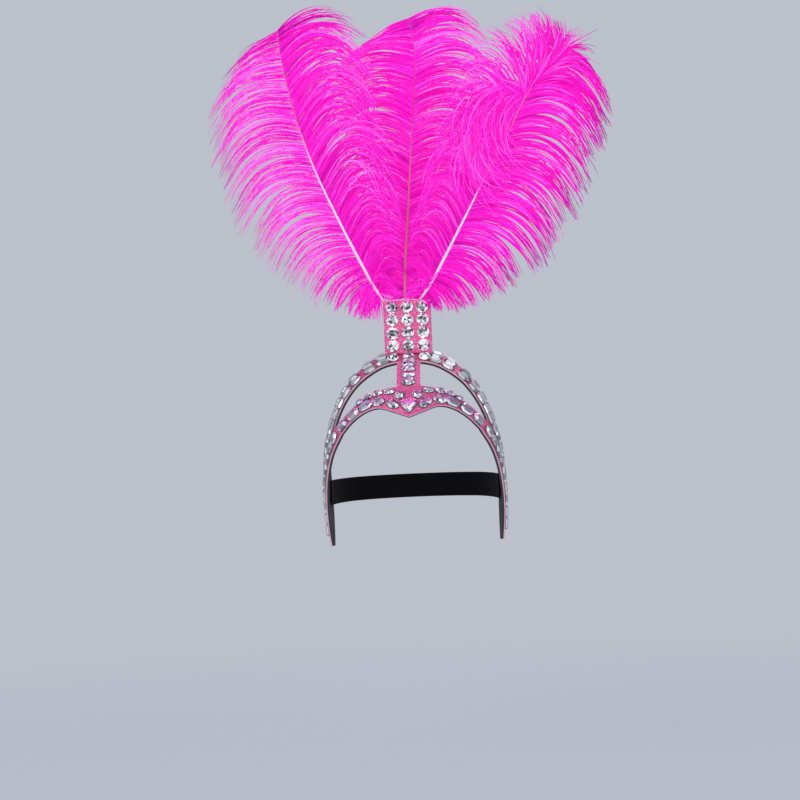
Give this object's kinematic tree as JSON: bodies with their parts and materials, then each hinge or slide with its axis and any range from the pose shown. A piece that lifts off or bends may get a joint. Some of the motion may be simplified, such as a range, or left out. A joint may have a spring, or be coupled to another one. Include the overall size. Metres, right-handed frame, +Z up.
{
  "type": "carnival feather headdress",
  "caption": "Open foam headdress frame faced with pink glitter cloth and clear stones, with upright ostrich plumes in a holder plate and an elastic head strap.",
  "frame": {"origin": "centre of the head opening at the level of the temples, half way between brow and back strap", "axes": "+Z up along the plumes, -Y the way the wearer faces, +X to the right as seen from the front"},
  "size_m": [0.4167, 0.192, 0.5641],
  "materials": {
    "foam": "matt dark grey closed-cell foam sheet",
    "glitter_cloth": "pink glitter cloth glued to the foam, set with clear stones",
    "crystal": "clear faceted acrylic with a bright foil back",
    "plume": "hot pink dyed ostrich feather with a paler quill",
    "elastic": "flat black woven elastic",
    "glue": "clear set hot glue"
  },
  "bodies": {
    "root": {"arch_facing": "glitter_cloth", "arch_foam": "foam", "arch_stone_1": "crystal", "arch_stone_2": "crystal", "arch_stone_3": "crystal", "arm_left_facing": "glitter_cloth", "arm_left_foam": "foam", "arm_right_facing": "glitter_cloth", "arm_right_foam": "foam", "brow_facing": "glitter_cloth", "brow_flank_left": "crystal", "brow_flank_right": "crystal", "brow_foam": "foam", "brow_heart": "crystal", "brow_lower_a_left": "crystal", "brow_lower_a_right": "crystal", "brow_lower_b_left": "crystal", "brow_lower_b_right": "crystal", "brow_lower_c_left": "crystal", "brow_lower_c_right": "crystal", "brow_lower_d_left": "crystal", "brow_lower_d_right": "crystal", "brow_round_left": "crystal", "brow_round_right": "crystal", "brow_upper_a_left": "crystal", "brow_upper_a_right": "crystal", "brow_upper_b_left": "crystal", "brow_upper_b_right": "crystal", "brow_upper_c_left": "crystal", "brow_upper_c_right": "crystal", "brow_upper_d_left": "crystal", "brow_upper_d_right": "crystal", "feather_left": "plume", "feather_middle": "plume", "feather_right": "plume", "glue_bead": "glue", "head_strap": "elastic", "plate_backing": "foam", "plate_facing": "glitter_cloth", "plate_foam": "foam", "plate_stone_11": "crystal", "plate_stone_12": "crystal", "plate_stone_13": "crystal", "plate_stone_21": "crystal", "plate_stone_22": "crystal", "plate_stone_23": "crystal", "plate_stone_31": "crystal", "plate_stone_32": "crystal", "plate_stone_33": "crystal", "plate_stone_41": "crystal", "plate_stone_42": "crystal", "plate_stone_43": "crystal", "post_facing": "glitter_cloth", "post_foam": "foam", "post_stone_1": "crystal", "post_stone_2": "crystal", "post_stone_3": "crystal", "post_stone_4": "crystal", "post_stone_5": "crystal"}
  },
  "joints": []
}
